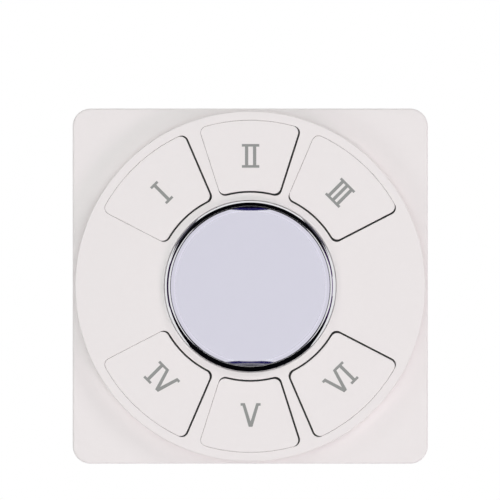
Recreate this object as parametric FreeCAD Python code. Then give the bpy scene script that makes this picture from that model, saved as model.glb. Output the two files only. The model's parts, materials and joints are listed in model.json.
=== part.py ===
import FreeCAD, Part
import math
import os

# Wireless wall switch: a square housing with a raised disc, six keys in a ring and a polished turning knob.
# All sizes are in millimetres. The model is built facing up: x runs to the right across the face, y runs up
# the wall and z comes out of the wall, with z = 0 on the wall. place_on_wall then stands it up, so the saved
# parts have +Z up the wall, +X to the right and the face looking along -Y.

Vector = FreeCAD.Vector

# Square housing
plate_side = 86.0
plate_corner_r = 4.3
plate_edge_r = 0.5
plate_wall = 1.8
skirt_wall = 2.0
skirt_lift = 0.5  # from the wall to the back edge of the skirt

# Raised disc
disc_margin = 0.8  # from the disc to the side of the square
disc_height = 4.2  # the disc's edge above the square
disc_rise = 0.5  # crown at the middle above the disc's edge
disc_edge_r = 0.25
disc_foot_r = 0.25
disc_side_wall = 1.3
disc_roof = 2.0

# Keys and their windows
inner_band = 2.01  # from the knob's bore to the middle of the gap round a key
outer_band = 2.4  # from that gap to the disc's edge
key_gap = 0.42
key_close_gap = 0.05  # where a key stands nearer to its window
key_corner_r = 1.45
key_edge_r = 0.15
window_edge_r = 0.12
pole_key_half_deg = 17.75  # the keys at the top and bottom
side_key_half_deg = 19.7  # the four keys beside them
side_key_offset_deg = 43.0  # from the top or bottom key to the one beside it
key_wall = 1.2
key_top = 1.7
key_flange_t = 1.0
key_flange_w = 0.6
key_stop_gap = 0.1
key_boss_r = 2.4
key_travel = 0.5

# Push switches under the keys
tact_side = 6.0
tact_base_h = 3.5
tact_cover_t = 0.4
tact_plunger_r = 1.75
tact_plunger_h = 0.8  # above the base, at rest
tact_bore_gap = 0.1
tact_skirt_h = 1.2  # plunger below the top of the base
tact_flange_w = 0.4
tact_flange_h = 0.7
tact_dome_r = 2.2
tact_dome_t = 0.15
tact_dome_gap = 0.05  # left over the dome at the end of the press

# Knob
knob_r = 20.6
knob_gap = 0.14
bore_edge_cut = 0.08
knob_proud = 1.6  # the rim above the crown of the disc
knob_edge_r = 1.2
knob_rim_band = 0.14  # between the rolled edge and the lip
knob_rim_slope_deg = 3.0  # by which that band falls outwards
knob_lip_edge = 0.1
knob_skirt_wall = 1.2
knob_seam = 0.1
knob_face_t = 0.8  # at its edge
knob_face_sunk = 0.12  # its edge below the rim
knob_face_rise = 0.35  # its middle above its edge
knob_face_edge = 0.08
knob_hub_t = 1.0
knob_hub_gap = 0.05
knob_boss_r = 5.6
knob_rib_t = 1.2
knob_rib_count = 6
knob_floor_gap = 0.3
push_travel = 0.4

# Well that the knob sits in
well_wall = 1.0
well_floor_t = 1.0
well_floor_gap = 0.1

# Rotary encoder with a push switch
encoder_side = 12.4
encoder_base_h = 1.6
encoder_floor_t = 0.5
encoder_roof_t = 0.5
encoder_cavity_r = 5.2
push_dome_r = 1.9
push_dome_t = 0.15
push_dome_gap = 0.05  # left over the dome at the end of the push
push_plunger_r = 1.9
push_plunger_h = 0.7
push_pocket_gap = 0.3
push_seat_wall = 1.2
rotor_r = 4.9
rotor_h = 0.7
rotor_gap = 0.1
rotor_notches = 20
rotor_notch_w = 0.5
rotor_notch_depth = 0.12
rotor_notch_l = 1.2
detent_t = 0.2
detent_w = 1.15
detent_side_gap = 0.1
detent_pin_r = 0.4
shaft_r = 3.0
shaft_gap = 0.05
shaft_lip_h = 0.4
shaft_flat_depth = 1.5
shaft_socket_gap = 0.02
shaft_end_gap = 0.25
shaft_roof = 0.5
tongue_w = 2.0
tongue_l = 3.4
tongue_gap = 0.06
clip_t = 0.35
clip_w = 0.85
clip_groove = 0.4
clip_opening_half_deg = 25.0
clip_gap = 0.05
bushing_r = 3.5
bushing_h = 0.5  # above the floor of the well
bushing_hole_gap = 0.3

# Circuit board
board_t = 1.6
board_side_gap = 0.4
board_corner_cut = 9.0
board_post_inset = 11.5  # from the skirt's outside to the middle of a board screw
board_post_r = 2.2
board_hole_gap = 0.15

# Coin cell, 24.5 mm across and 5.0 mm high, with its bay and springs
cell_r = 12.25
cell_h = 5.0
cell_can_edge_r = 0.5
cell_cap_r = 10.9
cell_cap_h = 0.3
cell_lift = 0.1
cell_side_gap = 0.35
cell_ring_wall = 1.0
cell_ring_h = 4.9
cell_shelf_t = 0.4
contact_t = 0.25
contact_w = 5.0
contact_foot = 3.2
contact_rise = 0.25  # from the cell to the arm in front of it
contact_reach = 3.0  # arm past the middle of the cell
contact_side_gap = 0.1
contact_leaf_h = 2.2
contact_dimple_r = 1.25
contact_notch_w = 7.0
contact_board_gap = 0.5  # from the hole in the board to the foot

# Rear housing
housing_side_gap = 0.3
housing_wall = 1.4
housing_inner_corner_r = 0.4
housing_floor_t = 1.5
housing_top_gap = 0.2
housing_boss_h = 1.1
boss_r = 2.6
boss_gap = 0.3
pocket_w = 10.0
pocket_h = 16.0
pocket_depth = 1.2
pocket_roof = 1.0
pocket_corner_r = 2.0

# Battery door
door_r = 13.8
door_gap = 0.2
door_t = 0.85
door_face_gap = 0.1
door_ledge_t = 0.55
door_plug_wall = 1.2
door_plug_gap = 0.3
door_lug_w = 1.2
door_lug_t = 0.8
door_lug_half_deg = 18.0
door_lug_count = 3
door_lug_gap = 0.3
door_notch_half_deg = 21.0
door_turn_deg = 45.0
door_swing_wall = 1.0
coin_slot_l = 13.0
coin_slot_w = 1.9
coin_slot_depth = 0.5

# Screws
case_screw_r = 1.1
case_screw_head_r = 2.0
case_screw_head_h = 1.3
case_screw_sunk = 0.1
case_screw_bite = 4.2
board_screw_r = 0.9
board_screw_head_r = 1.8
board_screw_head_h = 1.2
board_screw_bite = 2.2
head_clearance = 0.5
head_side_gap = 0.25
thread_gap = 0.05
recess_w = 0.5  # arms of the cross recess
recess_rim = 0.7  # from the arms' ends to the rim of the head
recess_depth = 0.6

# Wall bracket
bracket_t = 1.8
bracket_edge_gap = 1.0
bracket_corner_r = 3.0
bracket_window_gap = 0.8  # round the battery door
bracket_pad_r = 3.0
bracket_pad_inset = 12.0  # from the bracket's side to the middle of a pad
bracket_pad_y = 21.0
housing_gap = 0.6  # between bracket and housing, filled by the pads
screw_pitch = 60.3
screw_slot_r = 2.1
screw_slot_l = 7.0
hook_side_inset = 16.0  # from the bracket's side to the middle of a hook
hook_inset = 3.0  # from the housing's inside wall to the middle of a hook
hook_w = 8.0
hook_t = 1.3
hook_barb = 0.8
hook_barb_h = 1.0
hook_slot_gap = 0.2
hook_rise_gap = 0.15

# Radio and small electronics on the board
radio_inset = 6.9  # from the board's side
radio_w = 14.0
radio_l = 19.0
radio_board_t = 0.8
can_w = 12.0
can_l = 12.5
can_h = 2.0
can_wall = 0.2
can_inset = 0.8
antenna_w = 0.5
antenna_t = 0.1
antenna_pitch = 1.3
antenna_turns = 4
antenna_reach = 3.4
antenna_inset = 0.8
chip_side = 7.0
chip_h = 0.9
chip_x = -9.0
chip_y = -17.5
chip_leads_a_side = 7
chip_lead_pitch = 0.8
chip_lead_w = 0.35
chip_lead_l = 1.0
chip_lead_root = 0.6  # inside the body
chip_lead_t = 0.15
crystal_l = 5.0
crystal_w = 3.2
crystal_h = 1.1
crystal_x = 2.0
crystal_y = -17.5
crystal_edge_r = 0.4
small_l = 1.6
small_w = 0.8
small_h = 0.45
small_pitch = 2.4
small_rows = 3
small_columns = 5
small_x = -11.0
small_y = 15.0

# Heights out of the wall, from the bracket to the face
housing_back_z = bracket_t + housing_gap
floor_z = housing_back_z + housing_floor_t
board_back_z = floor_z + board_screw_head_h + head_clearance
board_front_z = board_back_z + board_t
tact_top_z = board_front_z + tact_base_h
key_back_z = tact_top_z + tact_plunger_h
roof_z = key_back_z + key_flange_t + key_stop_gap
disc_edge_z = roof_z + disc_roof
crown_z = disc_edge_z + disc_rise
plate_face_z = disc_edge_z - disc_height
plate_back_z = plate_face_z - plate_wall
case_head_z = housing_back_z + case_screw_sunk + case_screw_head_h
boss_split_z = floor_z + housing_boss_h

# Heights through the encoder and the knob
push_floor_z = board_front_z + encoder_floor_t
push_plunger_z = push_floor_z + push_dome_t + push_dome_gap + push_travel
rotor_seat_z = push_plunger_z + push_plunger_h
rotor_z = rotor_seat_z + rotor_gap
rotor_top_z = rotor_z + rotor_h
shaft_shoulder_z = rotor_top_z + push_travel + rotor_gap
clip_z = shaft_shoulder_z + shaft_lip_h
encoder_roof_z = clip_z + clip_t + clip_gap
encoder_top_z = encoder_roof_z + encoder_roof_t
encoder_base_z = board_front_z + encoder_base_h
well_back_z = encoder_top_z + well_floor_gap
well_floor_z = well_back_z + well_floor_t
bushing_top_z = well_floor_z + bushing_h
knob_skirt_z = well_floor_z + push_travel + knob_floor_gap
knob_boss_z = bushing_top_z + push_travel + knob_floor_gap
knob_top_z = crown_z + knob_proud
knob_face_z = knob_top_z - knob_face_sunk
knob_seat_z = knob_face_z - knob_face_t
knob_hub_z = knob_seat_z - knob_hub_t
shaft_top_z = knob_seat_z - shaft_roof - shaft_end_gap

# Heights through the cell bay
door_ledge_z = housing_back_z + door_t + door_face_gap
door_lug_z = door_ledge_z + door_ledge_t + door_face_gap
door_top_z = door_lug_z + door_lug_t
cell_back_z = door_top_z + cell_lift
cell_front_z = cell_back_z + cell_h
cell_shelf_z = cell_back_z + door_face_gap
cell_ring_top_z = floor_z + cell_ring_h

# Half widths and radii that follow
skirt_inside = plate_side / 2 - skirt_wall
housing_outside = skirt_inside - housing_side_gap
housing_inside = housing_outside - housing_wall
housing_corner_r = plate_corner_r - skirt_wall - housing_side_gap
board_half = housing_inside - board_side_gap
boss_at = housing_inside - boss_r - boss_gap
board_screw_at = plate_side / 2 - board_post_inset
bracket_half = skirt_inside - bracket_edge_gap
disc_r = plate_side / 2 - disc_margin
disc_cavity_r = disc_r - disc_side_wall
crown_edge_r = disc_r - disc_edge_r
crown_radius = (crown_edge_r**2 + disc_rise**2) / (2 * disc_rise)
bore_r = knob_r + knob_gap
key_inner_r = bore_r + inner_band  # both are measured to the middle of the gap
key_outer_r = disc_r - outer_band
key_middle_r = (key_inner_r + key_outer_r) / 2
well_r = bore_r + well_wall
cell_x = (encoder_side / 2 + housing_inside) / 2
cell_bay_r = cell_r + cell_side_gap
cell_ring_r = cell_bay_r + cell_ring_wall
board_cell_r = cell_ring_r + board_side_gap
door_plug_r = cell_bay_r - door_plug_gap
door_lug_r = door_plug_r + door_lug_w
door_swing_r = door_lug_r + door_lug_gap
knob_inner_r = knob_r - knob_skirt_wall
rim_slope = math.radians(knob_rim_slope_deg)
rim_band_r = knob_r - knob_edge_r * (1 - math.sin(rim_slope))  # outer radius of the band
knob_opening_r = rim_band_r - knob_rim_band - knob_lip_edge
knob_face_r = knob_opening_r - knob_seam
tongue_r = math.hypot(tongue_l, tongue_w) / 2
push_pocket_r = max(push_plunger_r, tongue_r) + push_pocket_gap
bracket_window_r = door_r + bracket_window_gap
bracket_pad_x = bracket_half - bracket_pad_inset
hook_x = bracket_half - hook_side_inset
hook_y = housing_inside - hook_inset
screw_y = screw_pitch / 2
radio_x = radio_inset + radio_w / 2 - board_half

past = 1.0  # how far a cutter runs past what it cuts

# Each key's number, the direction of its middle in degrees, its half angle, and the gaps at its two sides,
# the clockwise one first. Its inner arc has the wide gap and its outer arc the close one.
keys = [
    (1, 90 + side_key_offset_deg, side_key_half_deg, (key_gap, key_close_gap)),
    (2, 90, pole_key_half_deg, (key_gap, key_close_gap)),
    (3, 90 - side_key_offset_deg, side_key_half_deg, (key_gap, key_close_gap)),
    (4, 270 - side_key_offset_deg, side_key_half_deg, (key_close_gap, key_gap)),
    (5, 270, pole_key_half_deg, (key_close_gap, key_gap)),
    (6, 270 + side_key_offset_deg, side_key_half_deg, (key_gap, key_gap)),
]


def cylinder(r, low, high, x=0.0, y=0.0):
    return Part.makeCylinder(r, high - low, Vector(x, y, low))


def tube(inner_r, outer_r, low, high, x=0.0, y=0.0):
    return cylinder(outer_r, low, high, x, y).cut(cylinder(inner_r, low - past, high + past, x, y))


def pie(r, half_deg, low, high):
    """A slice of a disc about the +x direction."""
    wedge = Part.makeCylinder(r, high - low, Vector(0, 0, low), Vector(0, 0, 1), 2 * half_deg)
    return turned(wedge, -half_deg)


def block(width, height, low, high, x=0.0, y=0.0):
    """A box centred on x, y."""
    return Part.makeBox(width, height, high - low, Vector(x - width / 2, y - height / 2, low))


def turned(solid, deg):
    return solid.rotated(Vector(0, 0, 0), Vector(0, 0, 1), deg)


def moved(solid, x=0.0, y=0.0, z=0.0):
    return solid.translated(Vector(x, y, z))


def polar(r, deg):
    return Vector(r * math.cos(math.radians(deg)), r * math.sin(math.radians(deg)), 0)


def joined(solids):
    first = solids[0]
    for other in solids[1:]:
        first = first.fuse(other)
    return first.removeSplitter()


def without(solid, cutters):
    for cutter in cutters:
        solid = solid.cut(cutter)
    return solid


def at_corners(solid, across, up):
    """Four copies of a solid, at the corners of a rectangle."""
    return [moved(solid, side_x * across, side_y * up) for side_x in (-1, 1) for side_y in (-1, 1)]


def round_the_axis(solid, count, start_deg=0.0):
    return [turned(solid, start_deg + 360.0 * i / count) for i in range(count)]


def edges_at(solid, z):
    """The edges that lie wholly at one height."""
    return [edge for edge in solid.Edges if all(abs(v.Z - z) < 1e-6 for v in edge.Vertexes)]


def upright_edges(solid):
    """The straight edges of a prism that run along z."""
    found = []
    for edge in solid.Edges:
        first, last = edge.Vertexes[0], edge.Vertexes[-1]
        if abs(first.X - last.X) + abs(first.Y - last.Y) < 1e-6 and abs(first.Z - last.Z) > 1e-6:
            found.append(edge)
    return found


def rounded_block(width, height, corner_r, low, high, x=0.0, y=0.0):
    solid = block(width, height, low, high, x, y)
    return solid.makeFillet(corner_r, upright_edges(solid))


def upright_slot(length, r, low, high, y):
    """A slot with round ends, along y."""
    straight = length - 2 * r
    ends = [cylinder(r, low, high, 0, y + side * straight / 2) for side in (-1, 1)]
    return joined([block(2 * r, straight, low, high, 0, y)] + ends)


def sector(inner_r, outer_r, half_deg, insets, corner_r, low, high):
    """A ring sector about the +x direction.

    Its sides run along two radial lines, inside them by the insets, the clockwise side's first.
    """

    def corner(r, side):
        inset = insets[0] if side < 0 else insets[1]
        return polar(r, side * (half_deg - math.degrees(math.asin(inset / r))))

    edges = [
        Part.LineSegment(corner(inner_r, -1), corner(outer_r, -1)).toShape(),
        Part.Arc(corner(outer_r, -1), polar(outer_r, 0), corner(outer_r, 1)).toShape(),
        Part.LineSegment(corner(outer_r, 1), corner(inner_r, 1)).toShape(),
        Part.Arc(corner(inner_r, 1), polar(inner_r, 0), corner(inner_r, -1)).toShape(),
    ]
    solid = Part.Face(Part.Wire(edges)).extrude(Vector(0, 0, high - low))
    return moved(solid.makeFillet(corner_r, upright_edges(solid)), z=low)


def revolved(outline):
    """A solid turned about z from an outline of (r, z) points. A third value marks the middle of an arc."""
    edges = []
    ring = outline + [outline[0]]
    points = [Vector(p[0], 0, p[1]) for p in ring]
    i = 0
    while i < len(ring) - 1:
        if len(ring[i + 1]) == 3:
            edges.append(Part.Arc(points[i], points[i + 1], points[i + 2]).toShape())
            i += 2
        else:
            edges.append(Part.LineSegment(points[i], points[i + 1]).toShape())
            i += 1
    return Part.Face(Part.Wire(edges)).revolve(Vector(0, 0, 0), Vector(0, 0, 1), 360)


def quarter(centre_r, centre_z, r, toward_r, toward_z):
    """The middle of a quarter arc, for revolved."""
    step = r * math.sqrt(0.5)
    return (centre_r + toward_r * step, centre_z + toward_z * step, "arc")


def crown_height(r):
    """Height of the disc's face, which is crowned as part of a large ball."""
    return crown_z - crown_radius + math.sqrt(crown_radius**2 - r**2)


def crown_ball(drop=0.0):
    """The ball that the crowned face is part of, moved back by drop. Its poles and seam lie far behind it."""
    return Part.makeSphere(crown_radius, Vector(0, 0, crown_z - crown_radius - drop), Vector(0, -1, 0))


def pan_screw(r, head_r, head_h, length):
    """A screw along +z with its head behind z = 0, a cross recess and a blunt tip."""
    head = cylinder(head_r, -head_h, 0)
    head = head.makeFillet(head_h / 3, edges_at(head, -head_h))
    shank = revolved([(0, 0), (r, 0), (r, length - r), (r / 2, length), (0, length)])
    solid = joined([head, shank])
    arm = block(2 * (head_r - recess_rim), recess_w, -head_h - past, recess_depth - head_h)
    return without(solid, [arm, turned(arm, 90)])


def front_cover():
    """Skirt, square face, raised disc with its key windows, and the knob's well."""
    shell = rounded_block(plate_side, plate_side, plate_corner_r, skirt_lift, plate_face_z)
    shell = shell.makeFillet(plate_edge_r, edges_at(shell, plate_face_z))
    inner = 2 * skirt_inside
    inner_corner_r = plate_corner_r - skirt_wall
    cavity = rounded_block(inner, inner, inner_corner_r, skirt_lift - past, plate_back_z)
    disc_cavity = cylinder(disc_cavity_r, plate_back_z - past, plate_face_z + past)
    shell = without(shell, [cavity, disc_cavity])
    inside_plate_z = plate_back_z + plate_wall / 2
    bosses = at_corners(cylinder(boss_r, boss_split_z, inside_plate_z), boss_at, boss_at)
    posts = at_corners(cylinder(board_post_r, board_front_z, inside_plate_z), board_screw_at, board_screw_at)
    shell = joined([shell, raised_disc(), knob_well()] + bosses + posts)
    return without(shell, cover_pilots())


def raised_disc():
    """Drum with a crowned face, the knob's bore and the key windows, which have rounded edges."""
    foot_r = disc_r + disc_foot_r
    foot_z = plate_face_z + disc_foot_r
    bore_edge_z = crown_height(bore_r) - bore_edge_cut
    bore_edge_run = bore_edge_cut + past
    drum = revolved(
        [
            (disc_cavity_r, plate_back_z),
            (foot_r, plate_back_z),
            (foot_r, plate_face_z),
            quarter(foot_r, foot_z, disc_foot_r, -1, -1),
            (disc_r, foot_z),
            (disc_r, crown_z + past),
            (bore_r + bore_edge_run, bore_edge_z + bore_edge_run),
            (bore_r, bore_edge_z),
            (bore_r, roof_z),
            (disc_cavity_r, roof_z),
        ]
    )
    disc = drum.common(crown_ball())
    disc = disc.makeFillet(disc_edge_r, edges_at(disc, crown_height(disc_r)))
    disc = without(disc, key_windows()).Solids[0]
    return disc.makeFillet(window_edge_r, window_edges(disc))


def window_edges(disc):
    """The edges where the key windows come out through the crowned face."""
    found = []
    for edge in disc.Edges:
        ends = [vertex.Point for vertex in edge.Vertexes]
        reach = [math.hypot(end.x, end.y) for end in ends]
        in_ring = min(reach) > bore_r and max(reach) < key_outer_r + key_gap
        if in_ring and min(end.z for end in ends) > roof_z + disc_roof / 2:
            found.append(edge)
    return found


def key_windows():
    half_gap = key_gap / 2
    windows = []
    for _, middle_deg, half_deg, _ in keys:
        window = sector(
            key_inner_r - half_gap,
            key_outer_r + half_gap,
            half_deg,
            (-half_gap, -half_gap),
            key_corner_r + half_gap,
            roof_z - past,
            crown_z + past,
        )
        windows.append(turned(window, middle_deg))
    return windows


def knob_well():
    """Cup below the knob's bore, with a hole for the encoder's bushing."""
    rim_z = roof_z + disc_roof / 2
    cup = tube(bushing_r + bushing_hole_gap, well_r, well_back_z, rim_z)
    return cup.cut(cylinder(bore_r, well_floor_z, rim_z + past))


def cover_pilots():
    """Blind holes that the case screws and the board screws bite into."""
    case_end_z = boss_split_z + case_screw_bite + thread_gap
    board_end_z = board_front_z + board_screw_bite + thread_gap
    case_pilot = cylinder(case_screw_r + thread_gap, boss_split_z - past, case_end_z)
    board_pilot = cylinder(board_screw_r + thread_gap, board_front_z - past, board_end_z)
    return at_corners(case_pilot, boss_at, boss_at) + at_corners(board_pilot, board_screw_at, board_screw_at)


def key_cap(half_deg, side_gaps):
    """A hollow key with a crowned top, a stop flange on three sides and a boss that meets its push switch."""
    half_gap = key_gap / 2
    inner_r = key_inner_r + half_gap
    outer_r = key_outer_r + half_gap - key_close_gap
    corner_r = key_corner_r + half_gap - key_close_gap
    insets = [gap - half_gap for gap in side_gaps]
    body = sector(inner_r, outer_r, half_deg, insets, corner_r, key_back_z, crown_z + past)
    body = body.common(crown_ball())
    rim = [edge for edge in body.Edges if min(v.Z for v in edge.Vertexes) > key_back_z + key_top]
    body = body.makeFillet(key_edge_r, rim)
    flange = sector(
        inner_r - key_flange_w,
        outer_r,
        half_deg,
        [inset - key_flange_w for inset in insets],
        corner_r,
        key_back_z,
        key_back_z + key_flange_t,
    )
    hollow = sector(
        inner_r + key_wall,
        outer_r - key_wall,
        half_deg,
        [inset + key_wall for inset in insets],
        corner_r / 2,
        key_back_z - past,
        crown_z + past,
    ).common(crown_ball(key_top))
    boss = cylinder(key_boss_r, key_back_z, crown_z, key_middle_r).common(crown_ball(key_top / 2))
    return joined([joined([body, flange]).cut(hollow), boss])


def tact_base():
    """A push switch's body: a square base with a round cavity and a hole for the plunger."""
    body = block(tact_side, tact_side, board_front_z, tact_top_z)
    cavity = cylinder(tact_dome_r + tact_bore_gap, tact_floor_z(), tact_top_z - tact_cover_t)
    hole = cylinder(tact_plunger_r + tact_bore_gap, tact_floor_z(), tact_top_z + past)
    return without(body, [cavity, hole])


def tact_floor_z():
    return tact_top_z - tact_skirt_h - key_travel - tact_dome_gap - tact_dome_t


def tact_dome():
    return cylinder(tact_dome_r, tact_floor_z(), tact_floor_z() + tact_dome_t)


def tact_plunger():
    low = tact_top_z - tact_skirt_h
    flange = cylinder(tact_plunger_r + tact_flange_w, low, low + tact_flange_h)
    return joined([cylinder(tact_plunger_r, low, key_back_z), flange])


def rear_housing():
    """Tray behind the electronics, with the cell bay, hook slots, screw pockets and corner bosses."""
    side = 2 * housing_outside
    tray = rounded_block(side, side, housing_corner_r, housing_back_z, plate_back_z - housing_top_gap)
    inner = 2 * housing_inside
    tray = tray.cut(rounded_block(inner, inner, housing_inner_corner_r, floor_z, plate_back_z + past))
    bosses = at_corners(cylinder(boss_r, housing_back_z, boss_split_z), boss_at, boss_at)
    tray = joined([tray, cell_bay()] + bosses + pocket_roofs())
    return without(tray, cell_bay_cutters() + hook_slots() + screw_pockets() + case_screw_holes())


def cell_bay():
    swing_wall = cylinder(door_swing_r + door_swing_wall, floor_z, cell_shelf_z + cell_shelf_t, cell_x)
    return joined([swing_wall, cylinder(cell_ring_r, floor_z, cell_ring_top_z, cell_x)])


def cell_bay_cutters():
    """The door's recess, the cell's hole, room for its lugs to turn, and notches for lugs and springs."""
    recess = cylinder(door_r + door_gap, housing_back_z - past, door_ledge_z, cell_x)
    bay = cylinder(cell_bay_r, housing_back_z - past, cell_ring_top_z + past, cell_x)
    swing = cylinder(door_swing_r, floor_z, cell_shelf_z, cell_x)
    notch = pie(door_swing_r, door_notch_half_deg, door_ledge_z - past, floor_z + past)
    notches = [moved(n, cell_x) for n in round_the_axis(notch, door_lug_count, 90 - door_turn_deg)]
    across = 2 * cell_ring_r + past
    spring_notch = block(contact_notch_w, across, board_front_z, cell_ring_top_z + past, cell_x)
    return [recess, bay, swing, spring_notch] + notches


def hook_slots():
    """Each slot leaves room for the hook to bend inwards by its barb."""
    inner_y = hook_y - hook_t / 2 - hook_slot_gap - hook_barb
    outer_y = hook_y + hook_t / 2 + hook_slot_gap
    slot = block(
        hook_w + 2 * hook_slot_gap,
        outer_y - inner_y,
        housing_back_z - past,
        floor_z + past,
        0,
        (inner_y + outer_y) / 2,
    )
    return four_ways(slot, hook_x)


def four_ways(solid, across):
    """Copies of a solid on the upper half, at both sides, and turned round for the lower half."""
    upper = [moved(solid, side * across) for side in (-1, 1)]
    return upper + [turned(copy, 180) for copy in upper]


def screw_pockets():
    """Room in the housing's back for the heads of the two wall screws."""
    low, high = housing_back_z - past, housing_back_z + pocket_depth
    return [rounded_block(pocket_w, pocket_h, pocket_corner_r, low, high, 0, y) for y in (-screw_y, screw_y)]


def pocket_roofs():
    width, height = pocket_w + 2 * housing_wall, pocket_h + 2 * housing_wall
    top_z = housing_back_z + pocket_depth + pocket_roof
    inside = block(2 * housing_inside, 2 * housing_inside, housing_back_z, top_z)
    return [block(width, height, housing_back_z, top_z, 0, y).common(inside) for y in (-screw_y, screw_y)]


def case_screw_holes():
    counterbore = cylinder(case_screw_head_r + head_side_gap, housing_back_z - past, case_head_z)
    hole = cylinder(case_screw_r + board_hole_gap, case_head_z, boss_split_z + past)
    return at_corners(counterbore, boss_at, boss_at) + at_corners(hole, boss_at, boss_at)


def battery_door():
    """A round door with a coin slot in its back and three lugs that turn in under the housing's ledge."""
    disc = cylinder(door_r, housing_back_z, housing_back_z + door_t)
    plug = tube(door_plug_r - door_plug_wall, door_plug_r, housing_back_z + door_t / 2, door_top_z)
    lug = pie(door_lug_r, door_lug_half_deg, door_lug_z, door_top_z)
    lug = lug.cut(cylinder(door_plug_r - door_plug_wall / 2, door_lug_z - past, door_top_z + past))
    door = joined([disc, plug] + round_the_axis(lug, door_lug_count, 90))
    door = door.cut(block(coin_slot_l, coin_slot_w, housing_back_z - past, housing_back_z + coin_slot_depth))
    return moved(door, cell_x)


def case_screws():
    length = boss_split_z - case_head_z + case_screw_bite
    screw = pan_screw(case_screw_r, case_screw_head_r, case_screw_head_h, length)
    return Part.makeCompound(at_corners(moved(screw, z=case_head_z), boss_at, boss_at))


def board_screws():
    screw = pan_screw(board_screw_r, board_screw_head_r, board_screw_head_h, board_t + board_screw_bite)
    return Part.makeCompound(at_corners(moved(screw, z=board_back_z), board_screw_at, board_screw_at))


def circuit_board():
    """A square board with its corners cut off, a round hole for the cell and four screw holes."""
    board = block(2 * board_half, 2 * board_half, board_back_z, board_front_z)
    board = board.makeChamfer(board_corner_cut, upright_edges(board))
    hole = cylinder(board_screw_r + board_hole_gap, board_back_z - past, board_front_z + past)
    cell_hole = cylinder(board_cell_r, board_back_z - past, board_front_z + past, cell_x)
    return without(board, [cell_hole] + at_corners(hole, board_screw_at, board_screw_at))


def coin_cell():
    """The can lies towards the door, and the smaller cap faces the spring in front of it."""
    shoulder_z = cell_h - cell_cap_h
    cell = revolved(
        [
            (0, 0),
            (cell_r - cell_can_edge_r, 0),
            quarter(cell_r - cell_can_edge_r, cell_can_edge_r, cell_can_edge_r, 1, -1),
            (cell_r, cell_can_edge_r),
            (cell_r, shoulder_z - cell_can_edge_r),
            quarter(cell_r - cell_can_edge_r, shoulder_z - cell_can_edge_r, cell_can_edge_r, 1, 1),
            (cell_r - cell_can_edge_r, shoulder_z),
            (cell_cap_r, shoulder_z),
            (cell_cap_r, cell_h),
            (0, cell_h),
        ]
    )
    return moved(cell, cell_x, z=cell_back_z)


def contact_foot_at(side):
    """A spring's foot on the board, above (1) or below (-1) the cell."""
    middle = side * (board_cell_r + contact_board_gap + contact_foot / 2)
    return block(contact_w, contact_foot, board_front_z, board_front_z + contact_t, cell_x, middle)


def negative_contact():
    """A strip that rises from the board and reaches over the front of the cell."""
    start = board_cell_r + contact_board_gap
    arm_z = cell_front_z + contact_rise
    riser = block(contact_w, contact_t, board_front_z, arm_z + contact_t, cell_x, start + contact_t / 2)
    arm_l = start + contact_t + contact_reach
    arm = block(contact_w, arm_l, arm_z, arm_z + contact_t, cell_x, start + contact_t - arm_l / 2)
    dimple = cylinder(contact_dimple_r, cell_front_z, arm_z + contact_t / 2, cell_x)
    return joined([contact_foot_at(1), riser, arm, dimple])


def positive_contact():
    """A strip that reaches through the bay's wall and stands beside the cell's can."""
    near = cell_r + contact_side_gap
    far = board_cell_r + contact_board_gap + contact_foot / 2
    strip = block(contact_w, far - near, board_front_z, board_front_z + contact_t, cell_x, -(near + far) / 2)
    leaf_y = -near - contact_t / 2
    leaf = block(contact_w, contact_t, board_front_z, board_front_z + contact_leaf_h, cell_x, leaf_y)
    return joined([contact_foot_at(-1), strip, leaf])


def encoder_base():
    """Square base with a pocket for the push switch and a raised seat that carries the rotor."""
    base = block(encoder_side, encoder_side, board_front_z, encoder_base_z)
    seat = cylinder(push_pocket_r + push_seat_wall, encoder_base_z - encoder_floor_t, rotor_seat_z)
    return joined([base, seat]).cut(cylinder(push_pocket_r, push_floor_z, rotor_seat_z + past))


def encoder_housing():
    """Cast frame over the rotor, with the bushing that guides the shaft."""
    frame = block(encoder_side, encoder_side, encoder_base_z, encoder_top_z)
    bushing = cylinder(bushing_r, encoder_roof_z, bushing_top_z)
    bore = cylinder(shaft_r + shaft_gap, encoder_roof_z - past, bushing_top_z + past)
    cavity = cylinder(encoder_cavity_r, encoder_base_z - past, encoder_roof_z)
    return without(joined([frame, bushing]), [cavity, bore])


def encoder_rotor():
    """Code disc with a slot for the shaft's tongue and a ring of detent notches."""
    disc = cylinder(rotor_r, rotor_z, rotor_top_z)
    slot = block(tongue_l + 2 * tongue_gap, tongue_w + 2 * tongue_gap, rotor_z - past, rotor_top_z + past)
    notch_x = rotor_r - rotor_notch_l / 2
    notch = block(rotor_notch_l + past, rotor_notch_w, rotor_top_z - rotor_notch_depth, rotor_top_z + past)
    return without(disc, [slot] + round_the_axis(moved(notch, notch_x + past / 2), rotor_notches))


def detent_spring():
    """Flat ring under the frame's roof with a pin that drops towards the rotor's notches."""
    outer_r = encoder_cavity_r - detent_side_gap
    ring = tube(outer_r - detent_w, outer_r, encoder_roof_z - detent_t, encoder_roof_z)
    inside_ring_z = encoder_roof_z - detent_t / 2
    pin = cylinder(detent_pin_r, rotor_top_z + rotor_gap, inside_ring_z, outer_r - detent_w / 2)
    return joined([ring, pin])


def shaft_flat(gap):
    """The half space beyond the flat on the shaft, from the bushing's top up."""
    flat_x = shaft_r - shaft_flat_depth + gap
    return Part.makeBox(shaft_r + past, 4 * shaft_r, knob_top_z, Vector(flat_x, -2 * shaft_r, bushing_top_z))


def encoder_shaft():
    """Round shaft with a flat at the knob's end, a clip groove and a tongue that slides in the rotor."""
    shaft = cylinder(shaft_r, shaft_shoulder_z, shaft_top_z).cut(shaft_flat(0))
    groove = tube(shaft_r - clip_groove, shaft_r + past, clip_z, clip_z + clip_t)
    tongue = block(tongue_l, tongue_w, rotor_seat_z, shaft_shoulder_z)
    return joined([shaft.cut(groove), tongue])


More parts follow.
